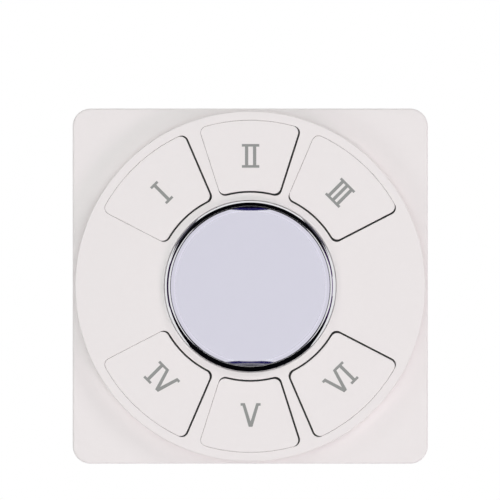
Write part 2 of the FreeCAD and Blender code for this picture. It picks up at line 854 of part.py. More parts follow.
def shaft_clip():
    inner_r = shaft_r - clip_groove
    outer_r = inner_r + clip_w
    ring = tube(inner_r, outer_r, clip_z, clip_z + clip_t)
    return ring.cut(pie(outer_r + past, clip_opening_half_deg, clip_z - past, clip_z + clip_t + past))


def push_plunger():
    return cylinder(push_plunger_r, push_plunger_z, rotor_seat_z)


def push_dome():
    return cylinder(push_dome_r, push_floor_z, push_floor_z + push_dome_t)


def knob_ring():
    """Rim and skirt of the knob, with a rolled outer edge and a lip that frames the face."""
    edge_r = knob_r - knob_edge_r
    band_z = knob_top_z - knob_rim_band * math.tan(rim_slope)
    edge_z = band_z - knob_edge_r * math.cos(rim_slope)
    lip_r = knob_opening_r + knob_lip_edge
    return revolved(
        [
            (knob_inner_r, knob_skirt_z),
            (knob_r, knob_skirt_z),
            (knob_r, edge_z),
            quarter(edge_r, edge_z, knob_edge_r, 1, 1),
            (rim_band_r, band_z),
            (lip_r, knob_top_z),
            quarter(lip_r, knob_top_z - knob_lip_edge, knob_lip_edge, -1, 1),
            (knob_opening_r, knob_top_z - knob_lip_edge),
            (knob_opening_r, knob_seat_z),
            (knob_inner_r, knob_seat_z),
        ]
    )


def knob_face():
    """A polished plate, crowned as part of a large ball, with its edge broken."""
    ball_r = (knob_face_r**2 + knob_face_rise**2) / (2 * knob_face_rise)
    ball = Part.makeSphere(ball_r, Vector(0, 0, knob_face_z + knob_face_rise - ball_r), Vector(0, -1, 0))
    plate = cylinder(knob_face_r, knob_seat_z, knob_face_z + past).common(ball)
    return plate.makeChamfer(knob_face_edge, edges_at(plate, knob_face_z))


def knob_hub():
    """Disc behind the face, with a boss for the shaft and ribs out to the skirt."""
    hub_r = knob_inner_r - knob_hub_gap
    disc = cylinder(hub_r, knob_hub_z, knob_seat_z)
    boss = cylinder(knob_boss_r, knob_boss_z, knob_hub_z)
    rib_l = hub_r - knob_boss_r / 2
    rib = block(rib_l, knob_rib_t, knob_boss_z, knob_hub_z, knob_boss_r / 2 + rib_l / 2)
    ribs = [r.common(cylinder(hub_r, knob_boss_z, knob_hub_z)) for r in round_the_axis(rib, knob_rib_count)]
    socket = cylinder(shaft_r + shaft_socket_gap, knob_boss_z - past, shaft_top_z + shaft_end_gap)
    return joined([disc, boss] + ribs).cut(socket.cut(shaft_flat(shaft_socket_gap)))


def wall_bracket():
    """Flat plate with two screw slots, two windows, spacer pads and four hooks. It fits either way up."""
    side = 2 * bracket_half
    plate = rounded_block(side, side, bracket_corner_r, 0, bracket_t)
    low, high = -past, bracket_t + past
    slots = [upright_slot(screw_slot_l, screw_slot_r, low, high, y) for y in (-screw_y, screw_y)]
    windows = [cylinder(bracket_window_r, low, high, x) for x in (-cell_x, cell_x)]
    pads = at_corners(cylinder(bracket_pad_r, bracket_t / 2, housing_back_z), bracket_pad_x, bracket_pad_y)
    return joined([without(plate, slots + windows)] + pads + four_ways(hook(), hook_x))


def hook():
    """A strip that stands through the housing's floor, with a barb that points away from the middle."""
    barb_z = floor_z + hook_rise_gap
    top_z = barb_z + hook_barb_h
    near_y = hook_y - hook_t / 2
    far_y = hook_y + hook_t / 2
    outline = [
        Vector(0, near_y, bracket_t / 2),
        Vector(0, far_y, bracket_t / 2),
        Vector(0, far_y, barb_z),
        Vector(0, far_y + hook_barb, barb_z),
        Vector(0, far_y, top_z),
        Vector(0, near_y, top_z),
    ]
    face = Part.Face(Part.makePolygon(outline + [outline[0]]))
    return moved(face.extrude(Vector(hook_w, 0, 0)), -hook_w / 2)


def radio_board():
    return block(radio_w, radio_l, board_front_z, board_front_z + radio_board_t, radio_x)


def shield_can():
    """Open-backed can over the radio's chip, at the lower end of its board."""
    low = board_front_z + radio_board_t
    y = -radio_l / 2 + can_inset + can_l / 2
    can = block(can_w, can_l, low, low + can_h, radio_x, y)
    inside = block(can_w - 2 * can_wall, can_l - 2 * can_wall, low - past, low + can_h - can_wall, radio_x, y)
    return can.cut(inside)


def antenna():
    """Meandering trace at the upper end of the radio's board."""
    low = board_front_z + radio_board_t
    high = low + antenna_t
    top_y = radio_l / 2 - antenna_inset
    first_x = radio_x - antenna_pitch * antenna_turns
    strokes = []
    for i in range(2 * antenna_turns + 1):
        x = first_x + i * antenna_pitch
        strokes.append(block(antenna_w, antenna_reach, low, high, x, top_y - antenna_reach / 2))
        if i < 2 * antenna_turns:
            link_y = top_y - antenna_w / 2 if i % 2 else top_y - antenna_reach + antenna_w / 2
            link_x = x + antenna_pitch / 2
            strokes.append(block(antenna_pitch + antenna_w, antenna_w, low, high, link_x, link_y))
    return joined(strokes)


def control_chip():
    body_z = board_front_z + chip_lead_t / 2
    solids = [block(chip_side, chip_side, body_z, body_z + chip_h)]
    lead_l = chip_lead_root + chip_lead_l
    lead_x = chip_side / 2 - chip_lead_root + lead_l / 2
    for i in range(chip_leads_a_side):
        along = (i - (chip_leads_a_side - 1) / 2) * chip_lead_pitch
        lead = block(lead_l, chip_lead_w, board_front_z, board_front_z + chip_lead_t, lead_x, along)
        solids += round_the_axis(lead, 4)
    return moved(joined(solids), chip_x, chip_y)


def crystal():
    can = rounded_block(crystal_l, crystal_w, crystal_edge_r, board_front_z, board_front_z + crystal_h)
    return moved(can, crystal_x, crystal_y)


def small_components():
    part = block(small_l, small_w, board_front_z, board_front_z + small_h)
    copies = []
    for column in range(small_columns):
        for row in range(small_rows):
            copies.append(moved(part, small_x + column * small_pitch, small_y + row * small_pitch))
    return Part.makeCompound(copies)


def place_on_wall(solid):
    """Stands the model up: its face, which pointed along +z, then looks along -Y."""
    return solid.rotated(Vector(0, 0, 0), Vector(1, 0, 0), 90)


def all_parts():
    parts = {
        "wall_bracket": wall_bracket(),
        "rear_housing": rear_housing(),
        "battery_door": battery_door(),
        "front_cover": front_cover(),
        "case_screws": case_screws(),
        "circuit_board": circuit_board(),
        "board_screws": board_screws(),
        "coin_cell": coin_cell(),
        "negative_contact": negative_contact(),
        "positive_contact": positive_contact(),
        "radio_board": radio_board(),
        "shield_can": shield_can(),
        "antenna": antenna(),
        "control_chip": control_chip(),
        "crystal": crystal(),
        "small_components": small_components(),
        "encoder_base": encoder_base(),
        "encoder_housing": encoder_housing(),
        "encoder_rotor": encoder_rotor(),
        "detent_spring": detent_spring(),
        "encoder_shaft": encoder_shaft(),
        "shaft_clip": shaft_clip(),
        "push_plunger": push_plunger(),
        "push_dome": push_dome(),
        "knob_ring": knob_ring(),
        "knob_face": knob_face(),
        "knob_hub": knob_hub(),
    }
    for number, middle_deg, half_deg, side_gaps in keys:
        parts[f"key_cap_{number}"] = turned(key_cap(half_deg, side_gaps), middle_deg)
        for name, solid in (("plunger", tact_plunger()), ("base", tact_base()), ("dome", tact_dome())):
            parts[f"tact_{name}_{number}"] = turned(moved(solid, key_middle_r), middle_deg)
    return parts


os.makedirs("parts", exist_ok=True)
for part_name, part_shape in all_parts().items():
    place_on_wall(part_shape).exportStep(f"parts/{part_name}.step")
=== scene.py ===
import json
import math

import bmesh
import bpy
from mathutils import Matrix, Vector
from mathutils.bvhtree import BVHTree


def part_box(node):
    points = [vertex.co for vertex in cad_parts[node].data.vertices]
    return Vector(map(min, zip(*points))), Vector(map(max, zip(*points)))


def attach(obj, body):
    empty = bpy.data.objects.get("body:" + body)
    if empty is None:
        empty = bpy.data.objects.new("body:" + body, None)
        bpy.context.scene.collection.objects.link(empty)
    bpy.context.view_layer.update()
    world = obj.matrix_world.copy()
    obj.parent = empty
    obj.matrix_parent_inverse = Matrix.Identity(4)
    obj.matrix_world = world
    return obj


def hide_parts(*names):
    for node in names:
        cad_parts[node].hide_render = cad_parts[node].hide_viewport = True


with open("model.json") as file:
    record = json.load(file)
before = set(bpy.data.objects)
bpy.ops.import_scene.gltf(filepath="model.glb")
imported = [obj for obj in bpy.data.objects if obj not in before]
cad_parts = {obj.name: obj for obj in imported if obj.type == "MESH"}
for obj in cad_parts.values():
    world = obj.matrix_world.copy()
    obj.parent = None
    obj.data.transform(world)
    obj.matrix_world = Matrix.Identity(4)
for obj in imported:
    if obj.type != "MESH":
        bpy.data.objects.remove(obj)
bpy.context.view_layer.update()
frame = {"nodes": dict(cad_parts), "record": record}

# Wireless wall switch: finishes, fine meshes for the polished knob, printed numerals, studio and
# camera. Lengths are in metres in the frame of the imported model: +Z up the wall, +X to the right,
# -Y out of the face.

MM = 0.001
INWARD = Vector((0, 1, 0))  # towards the wall

# Camera: level, square to the wall, framed as in the photograph
IMAGE_SIDE = 500
PLATE_PX = 355.3  # side of the square housing
PLATE_CENTRE_PX = (250.25, 286.1)
PLATE_HEIGHT = 10.4 * MM  # the square's face above the wall
CAMERA_DISTANCE = 0.8  # from that face
SENSOR = 36.0  # width, in the camera's own millimetres
CLIP = (0.01, 100.0)

# Colours, linear
IVORY = (0.830, 0.780, 0.780)
REAR_IVORY = (0.780, 0.745, 0.735)
BRACKET_GREY = (0.690, 0.675, 0.665)
PRINT_GREY = (0.285, 0.285, 0.277)
CHROME = (0.780, 0.780, 0.800)
MIRROR = (0.655, 0.640, 0.735)
BLACK = (0.030, 0.030, 0.033)
STEEL = (0.560, 0.560, 0.570)
SPRING_STEEL = (0.600, 0.570, 0.500)
ZINC = (0.600, 0.620, 0.650)
MASK_GREEN = (0.020, 0.160, 0.060)
COPPER = (0.720, 0.420, 0.240)
TIN = (0.640, 0.640, 0.640)
NICKEL = (0.680, 0.670, 0.650)
CERAMIC = (0.420, 0.300, 0.190)

# Grain of the finishes: noise per metre, shares by which colours wander, and depths of marks
NOISE_SPAN = (0.3, 0.7)  # between which most of a noise lies
NOISE_ROUGHNESS = 0.6
PLAIN_DETAIL = 2.0
USUAL_DETAIL = 3.0
RICH_DETAIL = 4.0
ANY_WAY = (1.0, 1.0, 1.0)  # for marks that do not run one way
MOULD_TEXTURE = 14000.0
MOULD_STRENGTH = 0.25
MOULD_CLOUDS = 900.0
MOULD_WANDER = 0.012
MOULD_SPREAD = 0.05  # of the roughness, up and down
MOULD_DEPTH = 0.012 * MM
METAL_MARKS = 2500.0
METAL_CLOUDS = 400.0
METAL_WANDER = 0.05
METAL_SPREAD = (0.7, 1.3)  # times the roughness
METAL_STRENGTH = 0.12
METAL_DEPTH = 0.0015 * MM
POLISH_CLOUDS = 250.0
POLISH_WANDER = 0.008
POLISH_HAZE = 3000.0
POLISH_SPREAD = (0.6, 1.4)

# Finishes by slot. Plastics have a colour, a roughness, and where they are not the usual ones a
# texture and its strength. Metals have marks in the texture's place, and how much closer they
# stand along x, y and z.
PLASTICS = {
    "housing_plastic": (IVORY, 0.50),
    "key_plastic": (IVORY, 0.47),
    "rear_plastic": (REAR_IVORY, 0.55, 9000.0),
    "bracket_plastic": (BRACKET_GREY, 0.58, 8000.0, 0.35),
    "hub_plastic": (BLACK, 0.45),
    "encoder_plastic": (BLACK, 0.40),
    "switch_black": (BLACK, 0.42),
    "chip_black": (BLACK, 0.60, 12000.0, 0.4),
    "ceramic": (CERAMIC, 0.50, 9000.0),
    "print_grey": (PRINT_GREY, 0.42, 16000.0, 0.15),
    "board_green": (MASK_GREEN, 0.28, 3000.0, 0.2),
}
POLISHES = {
    "knob_chrome": (CHROME, 0.03),
    "knob_mirror": (MIRROR, 0.012),
}
METALS = {
    "screw_steel": (STEEL, 0.28),
    "spring_steel": (SPRING_STEEL, 0.30, 3000.0, (1.0, 8.0, 1.0)),
    "encoder_metal": (ZINC, 0.38, 5000.0),
    "copper_trace": (COPPER, 0.35, 6000.0),
    "can_steel": (TIN, 0.25, 1500.0, (6.0, 1.0, 1.0)),
    "cell_steel": (NICKEL, 0.28, 1800.0),
}

# Sockets of a colour mix, which have no names of their own
MIX_FACTOR = 0
MIX_FIRST = 6
MIX_SECOND = 7
MIX_RESULT = 2

# Printed numerals: slab letters with bars joined across the strokes
NUMERAL_HEIGHT = 5.7 * MM
STROKE = 0.78 * MM
SERIF = 0.62 * MM
SERIF_REACH = 0.74 * MM  # beyond a stroke
PAIR_PITCH = 1.93 * MM  # between the strokes of II
TRIPLE_PITCH = 1.44 * MM  # between those of III
TRIPLE_REACH = 0.51 * MM
V_TOP_OUTER = 2.12 * MM
V_TOP_INNER = 1.37 * MM
V_SERIF = 2.40 * MM  # from the middle of a V to the end of its serif
V_FOOT = 0.45 * MM
V_NOTCH = 1.29 * MM  # above the foot
V_TO_STROKE = 3.36 * MM  # from the middle of a V to the stroke beside it
PRINT_PROUD = 0.02 * MM
PRINT_SUNK = 0.05 * MM

# The middle of each numeral, in millimetres across and up the face, and the direction in which
# its top points, in degrees from +X
NUMERALS = {
    1: (-21.31, 22.59, 135.0),
    2: (0.08, 31.40, 90.0),
    3: (21.63, 22.51, 45.0),
    4: (-21.29, -22.36, 45.0),
    5: (0.08, -30.97, 90.0),
    6: (21.68, -22.46, 135.0),
}

# Gaps round the keys: painted shade darkens the plastic's colour below the edges, by depth under
# the crowned face
CROWN_TOP = 15.1 * MM
CROWN_BALL = 1760 * MM
GAP_SHADE_START_DEPTH = 0.12 * MM
GAP_SHADE_FULL_DEPTH = 0.45 * MM
GAP_RING = (22.2 * MM, 40.6 * MM)
# Colour of the painted shade, reached at full depth in the gaps
GAP_PAINTED_SHADE = (0.080, 0.076, 0.076)

# Knob profile, and the steps of its meshes
KNOB_EDGE = 1.2 * MM  # width of the rolled edge
KNOB_EDGE_TURN_DEG = 50.0  # by which the rolled edge turns down
KNOB_CORNER = 0.15 * MM  # radius of the corner between it and the skirt
KNOB_BAND_SLOPE_DEG = 3.0  # of the band between the rolled edge and the lip
KNOB_SKIRT = 1.2 * MM
KNOB_LIP = 0.1 * MM
KNOB_BAND_END = 0.01 * MM  # last bit of the band, which keeps its shading flat up to the lip
KNOB_SEAM = 0.1 * MM
FACE_RISE = 0.35 * MM
FACE_EDGE = 0.08 * MM
FACE_BREAK_DEG = 40.0  # slope of that edge
FACE_BAND_RADIUS = 18.2 * MM  # of a faint band of painted highlight, where the mirror border begins
FACE_BAND_WIDTH = 0.35 * MM
FACE_HIGHLIGHT_GAIN = 1.09
FACE_CENTRE_METAL = 0.30  # share of mirror in the lacquered centre of the face, inside the band
FACE_SUNK = 0.12 * MM
LATHE_STEPS = 360
ROLL_STEPS = 32
CORNER_STEPS = 8
LIP_STEPS = 12
FACE_RINGS = 24
SMOOTH_DEG = 30.0  # shading is smooth over edges less sharp than this

# Studio. Levels are shares of the light on the face.
FRONT_FILL = 0.32  # world light from the camera's side of the wall
REAR_FILL = 0.50  # world light from behind the wall
FILL_TURN = 0.1  # half the width of the change between them, as a share of the radius
FILL_TINT = (0.985, 1.0, 0.99)
FRONT_LEVEL = 0.347
FRONT_TINT = (0.905, 0.99, 0.975)  # makes up for the rose of the side lights
FRONT_DISTANCE = 2.0
FRONT_SIDE = 1.2
SIDE_LEVELS = {-45: 0.112, 45: 0.110, -135: 0.065, 135: 0.060}  # by degrees round the face
SIDE_TINTS = {-45: (1.0, 0.81, 0.90)}
SIDE_ROSE = (1.0, 0.985, 0.985)  # tint of the other side lights
SIDE_LIFT_DEG = 34.0  # above the wall's plane
SIDE_DISTANCE = 1.5
SIDE_SIDE = 0.45
BACK_LEVEL = 0.45
BACK_LIFT = 1.0  # of the light behind the wall, which stands as far off as the one in front
FLOOR_DROP = 1.6
FLOOR_SIDE = 12.0
FLOOR_TONE = (0.90, 0.90, 0.90)
FLOOR_CLOUDS = 3.0  # across the floor
FLOOR_WANDER = 0.01
FLOOR_ROUGHNESS = 0.9
FLOOR_GLOW = 0.50  # added where the camera sees the floor, which far from the lamps is dim

# Cards seen in the polished knob, in degrees above, below or beside the camera's line
CARD_DISTANCE = 1.6
CARD_SPAN = (-CARD_DISTANCE, CARD_DISTANCE)
CARD_STEPS = 24
CARD_TONES = {
    "black": (0.002, 0.002, 0.003),
    "navy": (0.012, 0.008, 0.11),
    "grey": (0.30, 0.30, 0.32),
    "violet": (0.10, 0.03, 0.19),
    "dusk": (0.025, 0.008, 0.05),
    "bright": (1.09, 1.10, 1.08),
    "slate": (0.09, 0.085, 0.11),
}
UPPER_EDGE_DEG = 5.275
LOWER_EDGE_DEG = 6.43
NAVY_DEG = 0.14  # height of the thin cards along the edges
GREY_DEG = 0.09
GLOW_DEG = 0.12
UPPER_END_DEG = 62.0
LOWER_END_DEG = 130.0
STRIP_LEFT_DEG = (21.5, 54.5)
STRIP_RIGHT_DEG = (21.5, 36.0)
STRIP_HALF_DEG = 12.0
STRIP_DISTANCE = 0.9 * CARD_DISTANCE
STRIP_STEPS = 8
WING_SPAN = (1.25, 3.0)  # how far across the cards beside the upper one begin and end
WING_DEG = (38.0, 105.0)


def polar(radius, deg):
    """A point of the wall's plane, by its distance and direction from the middle."""
    angle = math.radians(deg)
    return Vector((radius * math.cos(angle), 0, radius * math.sin(angle)))


def tree_of(material):
    """The nodes of a material and its main shader."""
    material.use_nodes = True
    tree = material.node_tree
    shader = tree.nodes["Principled BSDF"]
    return tree, shader


def add_node(tree, kind, inputs=None, **settings):
    """A new node, with values for its inputs by name or number, and its other settings."""
    node = tree.nodes.new(kind)
    for name, value in settings.items():
        setattr(node, name, value)
    for name, value in (inputs or {}).items():
        node.inputs[name].default_value = value
    return node


def grain(tree, scale, detail=USUAL_DETAIL, stretch=ANY_WAY):
    """Noise fixed to the piece. The scale is per metre."""
    place = add_node(tree, "ShaderNodeTexCoord")
    mapping = add_node(tree, "ShaderNodeMapping", {"Scale": stretch})
    settings = {"Scale": scale, "Detail": detail, "Roughness": NOISE_ROUGHNESS}
    noise = add_node(tree, "ShaderNodeTexNoise", settings)
    tree.links.new(place.outputs["Object"], mapping.inputs["Vector"])
    tree.links.new(mapping.outputs["Vector"], noise.inputs["Vector"])
    return noise.outputs["Fac"]


def spread(tree, value, low, high):
    """Spreads a noise over low to high."""
    start, end = NOISE_SPAN
    settings = {"From Min": start, "From Max": end, "To Min": low, "To Max": high}
    node = add_node(tree, "ShaderNodeMapRange", settings)
    tree.links.new(value, node.inputs["Value"])
    return node.outputs["Result"]


def tint(tree, shader, color, amount, value):
    """Lets the base colour wander a little, from darker to lighter."""
    mix = add_node(tree, "ShaderNodeMix", data_type="RGBA")
    mix.inputs[MIX_FIRST].default_value = (*[c * (1 - amount) for c in color], 1)
    mix.inputs[MIX_SECOND].default_value = (*[min(1.0, c * (1 + amount)) for c in color], 1)
    tree.links.new(value, mix.inputs[MIX_FACTOR])
    tree.links.new(mix.outputs[MIX_RESULT], shader.inputs["Base Color"])


def bump(tree, shader, value, strength, depth):
    """Lets a noise stand up from the surface."""
    node = add_node(tree, "ShaderNodeBump", {"Strength": strength, "Distance": depth})
    tree.links.new(value, node.inputs["Height"])
    tree.links.new(node.outputs["Normal"], shader.inputs["Normal"])


def reach_of(tree):
    """Distance from the knob's axis, fixed to the piece."""
    place = add_node(tree, "ShaderNodeTexCoord")
    flat = add_node(tree, "ShaderNodeVectorMath", {1: (1, 0, 1)}, operation="MULTIPLY")
    length = add_node(tree, "ShaderNodeVectorMath", operation="LENGTH")
    tree.links.new(place.outputs["Object"], flat.inputs[0])
    tree.links.new(flat.outputs[0], length.inputs[0])
    return length.outputs["Value"]


def math_node(tree, operation, *values):
    """One step of arithmetic on sockets and numbers."""
    node = add_node(tree, "ShaderNodeMath", operation=operation)
    for i, value in enumerate(values):
        if isinstance(value, (int, float)):
            node.inputs[i].default_value = value
        else:
            tree.links.new(value, node.inputs[i])
    return node.outputs[0]


def recolor(tree, shader, amount, color):
    """Mixes a second colour over the base colour."""
    base = shader.inputs["Base Color"].links[0].from_socket
    mix = add_node(tree, "ShaderNodeMix", data_type="RGBA")
    mix.inputs[MIX_SECOND].default_value = (*color, 1)
    tree.links.new(amount, mix.inputs[MIX_FACTOR])
    tree.links.new(base, mix.inputs[MIX_FIRST])
    tree.links.new(mix.outputs[MIX_RESULT], shader.inputs["Base Color"])


def blend(tree, amount, first, second):
    """A mix of two shaders."""
    mix = add_node(tree, "ShaderNodeMixShader")
    tree.links.new(amount, mix.inputs[0])
    tree.links.new(first.outputs[0], mix.inputs[1])
    tree.links.new(second.outputs[0], mix.inputs[2])
    return mix.outputs[0]


def paint_gap_shade(material):
    """Painted shade inside the gaps round the keys: the colour darkens with depth below the face.
    """
    tree, shader = tree_of(material)
    reach = reach_of(tree)
    place = add_node(tree, "ShaderNodeTexCoord")
    split = add_node(tree, "ShaderNodeSeparateXYZ")
    tree.links.new(place.outputs["Object"], split.inputs[0])
    # The face is a wide ball, so it drops by reach squared over twice the ball's radius
    drop = math_node(tree, "DIVIDE", math_node(tree, "MULTIPLY", reach, reach), 2 * CROWN_BALL)
    below_top = math_node(tree, "ADD", split.outputs["Y"], CROWN_TOP)
    depth = math_node(tree, "SUBTRACT", below_top, drop)
    fall = add_node(
        tree,
        "ShaderNodeMapRange",
        {"From Min": GAP_SHADE_START_DEPTH, "From Max": GAP_SHADE_FULL_DEPTH},
        interpolation_type="SMOOTHSTEP",
    )
    tree.links.new(depth, fall.inputs["Value"])
    beyond = math_node(tree, "GREATER_THAN", reach, GAP_RING[0])
    within = math_node(tree, "LESS_THAN", reach, GAP_RING[1])
    in_ring = math_node(tree, "MULTIPLY", beyond, within)
    amount = math_node(tree, "MULTIPLY", fall.outputs["Result"], in_ring)
    # Painted shade: the base colour turns dark with depth in the gaps
    recolor(tree, shader, amount, GAP_PAINTED_SHADE)


def finish_face(material):
    """A lacquered centre and a mirror border, with a painted highlight, a faint brighter band,
    where they meet.
    """
    tree, shader = tree_of(material)
    reach = reach_of(tree)
    settings = {"From Min": FACE_BAND_RADIUS - FACE_BAND_WIDTH, "From Max": FACE_BAND_RADIUS}
    settings |= {"To Min": FACE_CENTRE_METAL, "To Max": 1.0}
    plate = add_node(tree, "ShaderNodeMapRange", settings)
    tree.links.new(reach, plate.inputs["Value"])
    tree.links.new(plate.outputs["Result"], shader.inputs["Metallic"])
    off = math_node(tree, "ABSOLUTE", math_node(tree, "SUBTRACT", reach, FACE_BAND_RADIUS))
    fade = add_node(
        tree,
        "ShaderNodeMapRange",
        {"From Min": 0.0, "From Max": FACE_BAND_WIDTH, "To Min": 1.0, "To Max": 0.0},
        interpolation_type="SMOOTHSTEP",
    )
    tree.links.new(off, fade.inputs["Value"])
    # Painted highlight: a brighter ring of colour along the band
    recolor(tree, shader, fade.outputs["Result"], [c * FACE_HIGHLIGHT_GAIN for c in MIRROR])


def moulded(name, color, roughness, texture=MOULD_TEXTURE, strength=MOULD_STRENGTH):
    """Satin moulded plastic with a fine spark-eroded texture."""
    material = bpy.data.materials.new(name)
    tree, shader = tree_of(material)
    fine = grain(tree, texture, PLAIN_DETAIL)
    tint(tree, shader, color, MOULD_WANDER, grain(tree, MOULD_CLOUDS, RICH_DETAIL))
    haze = spread(tree, fine, roughness - MOULD_SPREAD, roughness + MOULD_SPREAD)
    tree.links.new(haze, shader.inputs["Roughness"])
    bump(tree, shader, fine, strength, MOULD_DEPTH)
    return material


def metal(name, color, roughness, scale=METAL_MARKS, stretch=ANY_WAY):
    """Plated or bare metal, with fine marks that may run one way."""
    material = bpy.data.materials.new(name)
    tree, shader = tree_of(material)
    shader.inputs["Metallic"].default_value = 1.0
    marks = grain(tree, scale, RICH_DETAIL, stretch)
    tint(tree, shader, color, METAL_WANDER, grain(tree, METAL_CLOUDS))
    haze = spread(tree, marks, *[roughness * share for share in METAL_SPREAD])
    tree.links.new(haze, shader.inputs["Roughness"])
    bump(tree, shader, marks, METAL_STRENGTH, METAL_DEPTH)
    return material


def polished(name, color, roughness):
    """Bright plate: almost no texture, only a trace of haze."""
    material = bpy.data.materials.new(name)
    tree, shader = tree_of(material)
    shader.inputs["Metallic"].default_value = 1.0
    tint(tree, shader, color, POLISH_WANDER, grain(tree, POLISH_CLOUDS, PLAIN_DETAIL))
    haze = spread(tree, grain(tree, POLISH_HAZE), *[roughness * share for share in POLISH_SPREAD])
    tree.links.new(haze, shader.inputs["Roughness"])
    return material


def make_materials():
    """Each finish by the name of its slot."""
    made = {}
    for finish, rows in ((moulded, PLASTICS), (polished, POLISHES), (metal, METALS)):
        for name, settings in rows.items():
            made[name] = finish(name, *settings)
    # Painted shade in the gaps of the housing and the keys
    paint_gap_shade(made["housing_plastic"])
    paint_gap_shade(made["key_plastic"])
    finish_face(made["knob_mirror"])
    return made


def dress(obj, materials, slot):
    """Gives an object the finish of a slot of the record."""
    obj.data.materials.append(materials[slot])


def dress_cad_nodes(materials):
    """Each CAD node gets the finish of its slot in the record."""
    for row in frame["record"]["subparts"]:
        node = frame["nodes"][row["node"]]
        node.data.materials.clear()
        dress(node, materials, row["material_slot"])


def finish_mesh(name, mesh):
    """An object in the scene from a mesh under construction."""
    data = bpy.data.meshes.new(name)
    mesh.to_mesh(data)
    mesh.free()
    obj = bpy.data.objects.new(name, data)
    bpy.context.scene.collection.objects.link(obj)
    for face in data.polygons:
        face.use_smooth = True
    data.set_sharp_from_angle(angle=math.radians(SMOOTH_DEG))
    return obj


def lathe(name, outline):
    """A mesh turned about -Y from points of (radius, height out of the wall).

    A radius of 0 is a single point on the axis.
    """
    mesh = bmesh.new()
    rings = []
    for radius, height in outline:
        if radius == 0:
            rings.append([mesh.verts.new((0, -height, 0))])
            continue
        ring = []
        for i in range(LATHE_STEPS):
            place = polar(radius, 360 * i / LATHE_STEPS)
            ring.append(mesh.verts.new((place.x, -height, place.z)))
        rings.append(ring)
    for first, second in zip(rings, rings[1:] + rings[:1]):
        if len(first) == 1 and len(second) == 1:
            continue
        for i in range(LATHE_STEPS):
            j = (i + 1) % LATHE_STEPS
            corners = [first[i % len(first)], first[j % len(first)]]
            corners += [second[j % len(second)], second[i % len(second)]]
            mesh.faces.new(list(dict.fromkeys(corners)))  # a point on the axis counts once
    bmesh.ops.recalc_face_normals(mesh, faces=mesh.faces)
    return finish_mesh(name, mesh)


def turns(start_deg, end_deg, steps):
    """Angles from one direction to another, in radians."""
    return [math.radians(start_deg + (end_deg - start_deg) * i / steps) for i in range(steps + 1)]


def arc(centre_r, centre_h, radius, start_deg, end_deg, steps):
    """Points along an arc. 0 degrees points away from the axis, 90 out of the wall."""
    angles = turns(start_deg, end_deg, steps)
    return [(centre_r + radius * math.cos(a), centre_h + radius * math.sin(a)) for a in angles]


def make_knob(materials):
    """The rim and the face of the knob again, with meshes fine enough for mirror reflections."""
    ring_low, ring_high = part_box("knob_ring")
    face_low, face_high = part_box("knob_face")
    outer_r = ring_high.x
    top = -ring_low.y
    skirt = -ring_high.y
    seat = -face_high.y
    face_r = face_high.x
    opening_r = face_r + KNOB_SEAM
    inner_r = outer_r - KNOB_SKIRT
    lip_r = opening_r + KNOB_LIP
    slope = math.radians(KNOB_BAND_SLOPE_DEG)
    band_r = outer_r - KNOB_EDGE * (1 - math.sin(slope))
    turn = math.radians(KNOB_EDGE_TURN_DEG)
    turn_deg = 90 - KNOB_EDGE_TURN_DEG
    # The edge rolls from the band's slope down to its turn, where the corner begins
    roll_end_r = outer_r - KNOB_CORNER * (1 - math.sin(turn))
    roll = (roll_end_r - band_r) / (math.sin(turn) - math.sin(slope))
    roll_r = band_r - roll * math.sin(slope)
    roll_height = top - (band_r - lip_r) * math.tan(slope) - roll * math.cos(slope)
    corner_height = roll_height + (roll - KNOB_CORNER) * math.cos(turn)
    outline = [(inner_r, skirt), (outer_r, skirt)]
    outline += arc(outer_r - KNOB_CORNER, corner_height, KNOB_CORNER, 0, turn_deg, CORNER_STEPS)
    outline += arc(roll_r, roll_height, roll, turn_deg, 90 - KNOB_BAND_SLOPE_DEG, ROLL_STEPS)[1:]
    outline.append((lip_r + KNOB_BAND_END, top - KNOB_BAND_END * math.tan(slope)))
    outline += arc(lip_r, top - KNOB_LIP, KNOB_LIP, 90, 180, LIP_STEPS)
    outline += [(opening_r, seat), (inner_r, seat)]
    rim = lathe("knob_rim_plate", outline)
    dress(rim, materials, "knob_chrome")
    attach(rim, "knob")
    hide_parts("knob_ring")

    face_height = top - FACE_SUNK
    ball_r = (face_r**2 + FACE_RISE**2) / (2 * FACE_RISE)

    def crown(radius):
        return face_height + FACE_RISE - ball_r + math.sqrt(ball_r**2 - radius**2)

    edge_break = FACE_EDGE * math.tan(math.radians(FACE_BREAK_DEG))
    outline = [(0, seat), (face_r, seat), (face_r, face_height - edge_break)]
    radii = [(face_r - FACE_EDGE) * k / FACE_RINGS for k in range(FACE_RINGS, 0, -1)]
    outline += [(radius, crown(radius)) for radius in radii] + [(0, crown(0))]
    face = lathe("knob_mirror_plate", outline)
    dress(face, materials, "knob_mirror")
    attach(face, "knob")
    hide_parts("knob_face")


def bar(left, right, low, high):
    """The outline of an upright rectangle."""
    return [(left, low), (right, low), (right, high), (left, high)]


def stroke(x):
    """An upright stroke between its bars."""
    edge = NUMERAL_HEIGHT / 2 - SERIF
    return bar(x - STROKE / 2, x + STROKE / 2, -edge, edge)


def bar_at(top, left, right):
    """A bar along the top or the foot of a numeral."""
    edge = NUMERAL_HEIGHT / 2
    return bar(left, right, edge - SERIF, edge) if top else bar(left, right, -edge, SERIF - edge)


def letter_v(left_reach, right_reach):
    """A V whose top bars run out to the left and the right by these reaches."""
    top = NUMERAL_HEIGHT / 2
    under = top - SERIF
    outer = V_TOP_OUTER - (V_TOP_OUTER - V_FOOT) * SERIF / NUMERAL_HEIGHT
    return [
        (-left_reach, top),
        (-left_reach, under),
        (-outer, under),
        (-V_FOOT, -top),
        (V_FOOT, -top),
        (outer, under),
        (right_reach, under),
        (right_reach, top),
        (V_TOP_INNER, top),
        (0, V_NOTCH - top),
        (-V_TOP_INNER, top),
    ]


def strokes_in_row(xs, reach):
    """Upright strokes at these places, with bars that reach past the outer ones."""
    half = xs[-1] + STROKE / 2 + reach
    return [bar_at(True, -half, half), bar_at(False, -half, half)] + [stroke(x) for x in xs]


